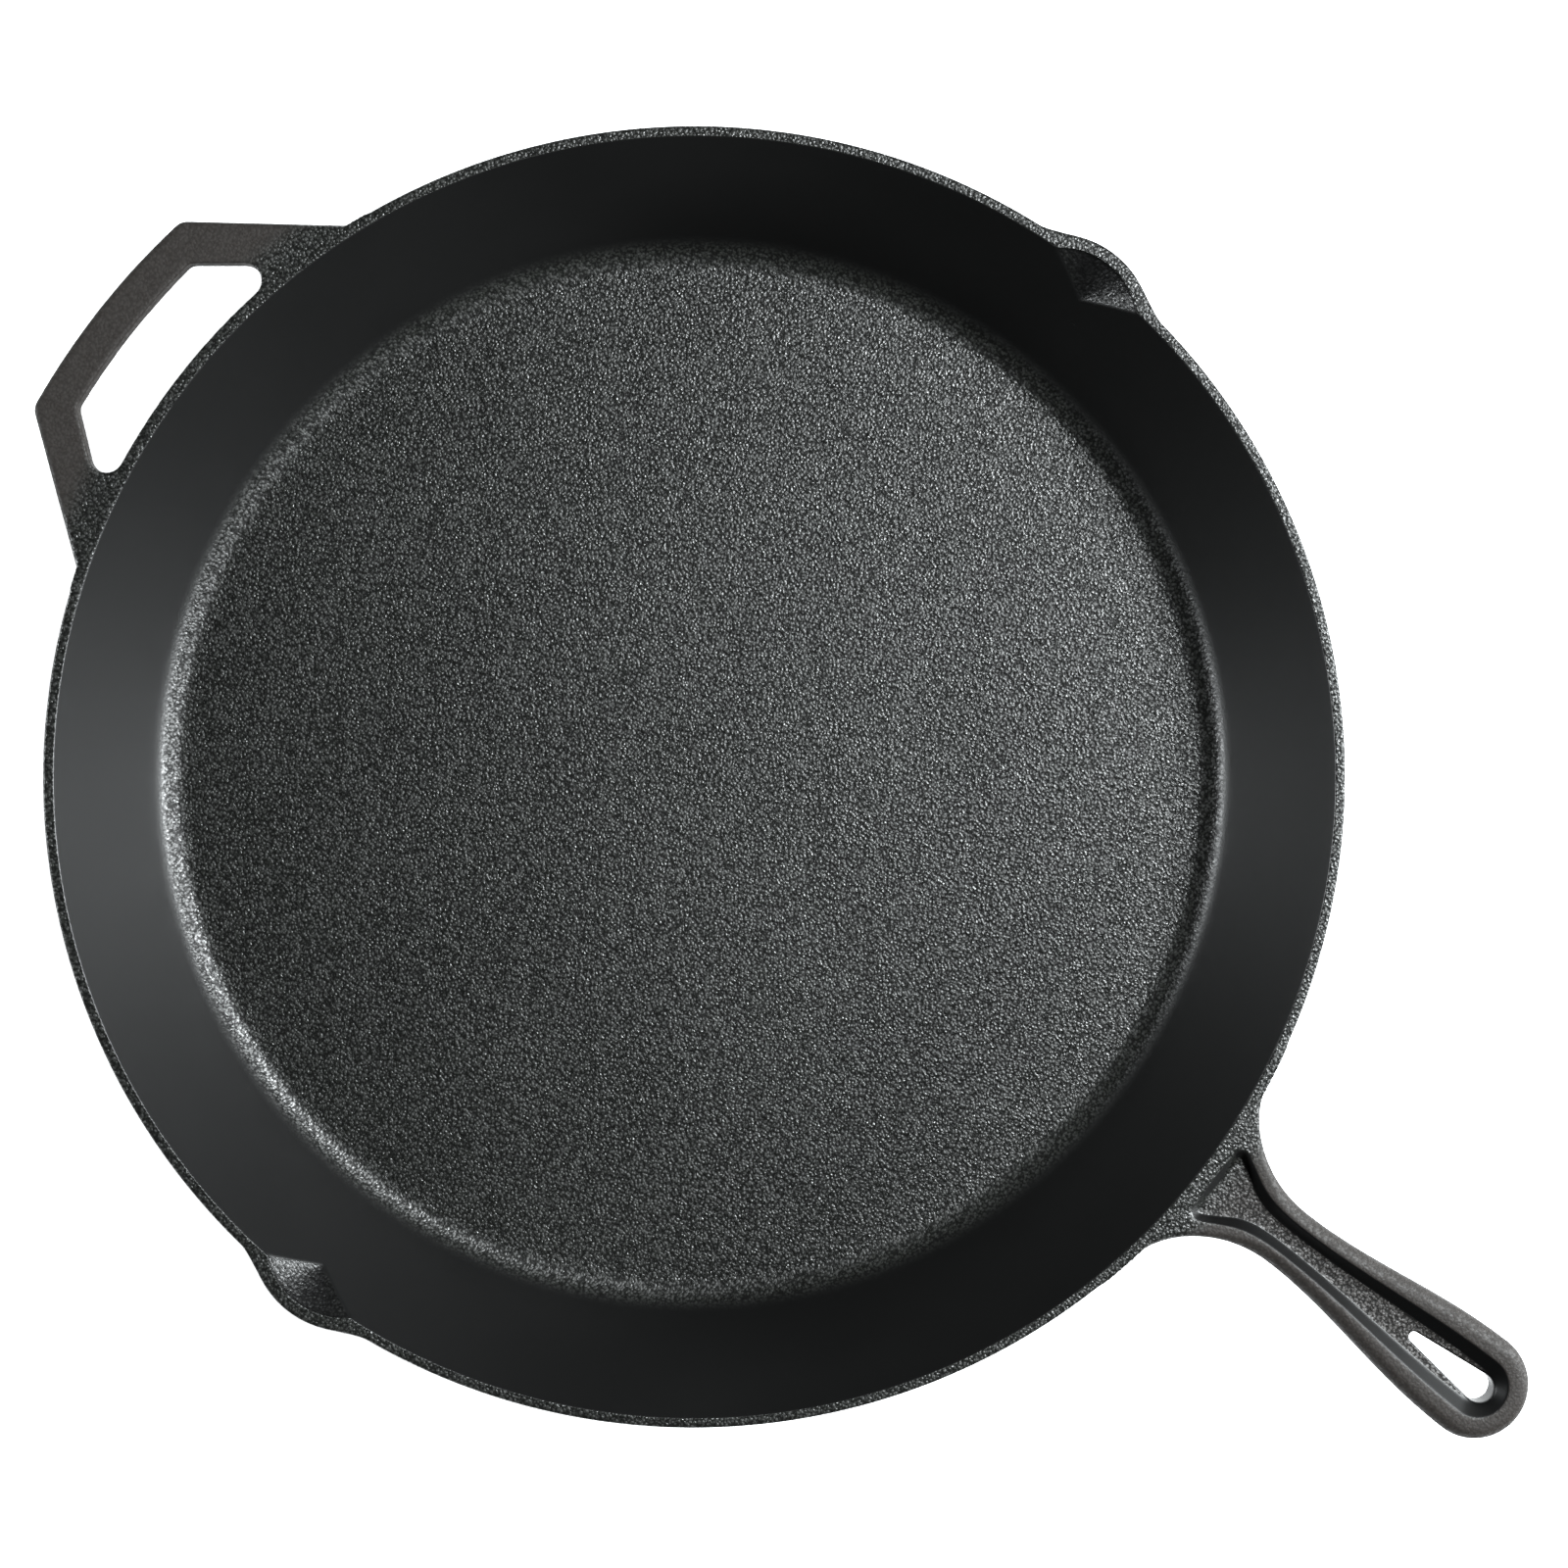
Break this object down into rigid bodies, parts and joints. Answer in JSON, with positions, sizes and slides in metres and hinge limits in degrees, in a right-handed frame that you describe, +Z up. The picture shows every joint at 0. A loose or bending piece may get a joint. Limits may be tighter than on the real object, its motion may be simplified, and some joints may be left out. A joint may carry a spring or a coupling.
{
  "type": "cast iron skillet",
  "caption": "Large round cast iron frying pan with flared wall, two pour spouts, a long handle with a hanging eye and a short slotted helper handle.",
  "frame": {"origin": "centre of the flat underside of the pan, on the axis of the round pan", "axes": "+X along the main handle towards its tip, +Z up out of the pan, +Y towards the left pour spout"},
  "size_m": [0.7068, 0.524, 0.076],
  "materials": {
    "cooking_floor_iron": "seasoned, as sand cast, fine pebbled grain",
    "wall_iron": "seasoned, smooth satin inside, pebbled on the rim and outside",
    "handle_iron": "seasoned, as sand cast, fine pebbled grain"
  },
  "bodies": {
    "root": {"pan_floor": "cooking_floor_iron", "side_wall": "wall_iron", "pour_spout_left": "wall_iron", "pour_spout_right": "wall_iron", "helper_handle": "handle_iron", "main_handle": "handle_iron"}
  },
  "joints": []
}
